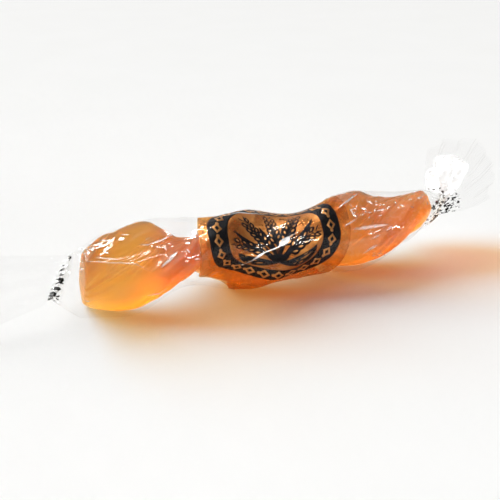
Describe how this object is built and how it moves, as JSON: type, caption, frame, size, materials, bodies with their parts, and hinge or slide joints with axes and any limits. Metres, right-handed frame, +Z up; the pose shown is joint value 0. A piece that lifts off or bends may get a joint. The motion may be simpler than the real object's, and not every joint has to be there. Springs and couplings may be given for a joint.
{
  "type": "barley sugar stick",
  "caption": "Twisted amber barley sugar stick sealed in a clear film twist wrapper with a printed band, gathered and fanned at both ends.",
  "frame": {"origin": "centre of the bounding box at the level of the surface the stick lies on", "axes": "+X along the stick toward its drawn-out tip and the upright tail, +Z up, the shown side toward -Y"},
  "size_m": [0.1218, 0.0174, 0.0284],
  "materials": {
    "amber_sugar": "clear glossy boiled sugar, deeper orange where it is thick",
    "clear_film": "clear crisp film with sharp highlights along its creases",
    "gold_print": "half see-through gold ink under gloss",
    "black_print": "opaque black ink under gloss"
  },
  "bodies": {
    "root": {"wrapped_stick": "amber_sugar"}
  },
  "joints": []
}
